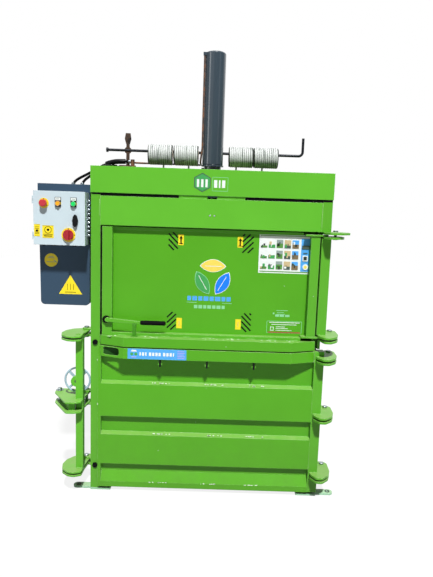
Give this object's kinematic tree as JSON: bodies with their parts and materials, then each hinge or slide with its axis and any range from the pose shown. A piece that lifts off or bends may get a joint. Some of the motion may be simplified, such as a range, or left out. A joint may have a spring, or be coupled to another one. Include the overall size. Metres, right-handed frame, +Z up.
{
  "type": "recycling baler",
  "caption": "Vertical recycling baler: green pressed-steel body with swing feed and bale doors, upright hydraulic cylinder, side power unit and strap rolls.",
  "frame": {"origin": "on the floor, at the centre of the anchor hole pattern", "axes": "+Z up, the doors face -Y, +X towards the door hinges"},
  "size_m": [1.8051, 0.888, 2.664],
  "materials": {
    "machine_green": "satin powder coat",
    "door_green": "satin powder coat",
    "cover_anthracite": "satin powder coat",
    "cylinder_grey": "gloss enamel",
    "enclosure_grey": "fine texture powder coat",
    "zinc_steel": "zinc plated",
    "dark_steel": "oiled mild steel",
    "rod_chrome": "hard chrome",
    "wheel_enamel": "pale blue enamel",
    "black_rubber": "matt",
    "black_plastic": "matt",
    "red_plastic": "gloss",
    "yellow_plastic": "gloss",
    "orange_plastic": "gloss",
    "green_plastic": "gloss",
    "strap_white": "woven polyester"
  },
  "bodies": {
    "frame": {"anchor_plates": "machine_green", "base_frame": "machine_green", "floor_plate": "dark_steel", "left_post": "machine_green", "right_post": "machine_green", "header_panel": "machine_green", "side_wall_left": "machine_green", "side_wall_right": "machine_green", "rear_wall": "machine_green", "post_buffers": "black_rubber", "head_beam_front": "machine_green", "head_beam_rear": "machine_green", "head_rails": "machine_green", "cylinder_beams": "machine_green", "cylinder_barrel": "cylinder_grey", "cylinder_cap": "cylinder_grey", "cylinder_gland": "cylinder_grey", "hinge_brackets": "machine_green", "hinge_pins": "zinc_steel", "power_cover": "cover_anthracite", "power_lid": "cover_anthracite", "oil_tank": "cylinder_grey", "pump_unit": "cylinder_grey", "control_box": "enclosure_grey", "spool_stand": "dark_steel", "strap_rod": "dark_steel", "strap_tails": "strap_white", "hydraulic_pipes": "dark_steel", "return_hose": "black_rubber", "pressure_hose": "black_rubber"},
    "feed_door": {"feed_door_frame": "machine_green", "feed_door_panel": "door_green", "feed_shelf": "machine_green", "feed_hinge_post": "machine_green", "latch_rest": "machine_green"},
    "feed_latch": {"latch_lever": "machine_green", "latch_grip": "black_rubber"},
    "bale_door": {"bale_door_leaf": "door_green", "bale_door_liner": "dark_steel", "bale_door_ledge": "machine_green", "bale_door_stile": "machine_green"},
    "lock_bar": {"lock_hooks": "machine_green", "lock_bracket": "machine_green", "lock_tube": "machine_green"},
    "handwheel_set": {"handwheel": "wheel_enamel", "wheel_spindle": "dark_steel"},
    "ram": {"piston": "dark_steel", "piston_rod": "rod_chrome", "platen": "machine_green"},
    "control_lid": {"control_door": "enclosure_grey", "control_collars": "yellow_plastic"},
    "estop": {"estop_button": "red_plastic"},
    "orange_push": {"orange_button": "orange_plastic"},
    "green_push": {"green_button": "green_plastic"},
    "isolator": {"main_switch": "red_plastic"},
    "lid_handle": {"door_handle": "black_plastic"},
    "strap_reel_1": {"strap_roll_1": "strap_white"},
    "strap_reel_2": {"strap_roll_2": "strap_white"},
    "strap_reel_3": {"strap_roll_3": "strap_white"},
    "strap_reel_4": {"strap_roll_4": "strap_white"}
  },
  "joints": [
    {"name": "feed_door_swing", "type": "hinge", "parent": "frame", "child": "feed_door", "pos_m": [0.733, -0.295, 1.285], "axis": [0, 0, 1], "range_deg": [0, 110]},
    {"name": "bale_door_swing", "type": "hinge", "parent": "frame", "child": "bale_door", "pos_m": [0.733, -0.295, 0.5], "axis": [0, 0, 1], "range_deg": [0, 110]},
    {"name": "feed_latch_lift", "type": "hinge", "parent": "feed_door", "child": "feed_latch", "pos_m": [-0.583, -0.43, 1.06], "axis": [0, 1, 0], "range_deg": [-75, 0]},
    {"name": "lock_bar_swing", "type": "hinge", "parent": "frame", "child": "lock_bar", "pos_m": [-0.74, -0.262, 0.55], "axis": [0, 0, 1], "range_deg": [-80, 0]},
    {"name": "handwheel_turn", "type": "hinge", "parent": "lock_bar", "child": "handwheel_set", "pos_m": [-0.777, -0.338, 0.667], "axis": [0, 1, 0], "continuous": true},
    {"name": "ram_stroke", "type": "slide", "parent": "frame", "child": "ram", "axis": [0, 0, -1], "range_m": [0, 0.56]},
    {"name": "control_lid_swing", "type": "hinge", "parent": "frame", "child": "control_lid", "pos_m": [-1.001, -0.438, 1.632], "axis": [0, 0, 1], "range_deg": [-110, 0]},
    {"name": "estop_press", "type": "slide", "parent": "control_lid", "child": "estop", "axis": [0, 1, 0], "range_m": [0, 0.004], "stiffness_N_per_m": 900},
    {"name": "orange_press", "type": "slide", "parent": "control_lid", "child": "orange_push", "axis": [0, 1, 0], "range_m": [0, 0.004], "stiffness_N_per_m": 900},
    {"name": "green_press", "type": "slide", "parent": "control_lid", "child": "green_push", "axis": [0, 1, 0], "range_m": [0, 0.004], "stiffness_N_per_m": 900},
    {"name": "isolator_turn", "type": "hinge", "parent": "control_lid", "child": "isolator", "pos_m": [-0.799, -0.45, 1.541], "axis": [0, 1, 0], "range_deg": [0, 90]},
    {"name": "lid_handle_turn", "type": "hinge", "parent": "control_lid", "child": "lid_handle", "pos_m": [-0.76, -0.45, 1.621], "axis": [0, 1, 0], "range_deg": [0, 90]},
    {"name": "strap_reel_1_spin", "type": "hinge", "parent": "frame", "child": "strap_reel_1", "pos_m": [-0.345, 0.095, 2.0505], "axis": [1, 0, 0], "continuous": true},
    {"name": "strap_reel_2_spin", "type": "hinge", "parent": "frame", "child": "strap_reel_2", "pos_m": [-0.179, 0.095, 2.0505], "axis": [1, 0, 0], "continuous": true},
    {"name": "strap_reel_3_spin", "type": "hinge", "parent": "frame", "child": "strap_reel_3", "pos_m": [0.173, 0.095, 2.0505], "axis": [1, 0, 0], "continuous": true},
    {"name": "strap_reel_4_spin", "type": "hinge", "parent": "frame", "child": "strap_reel_4", "pos_m": [0.334, 0.095, 2.0505], "axis": [1, 0, 0], "continuous": true}
  ]
}
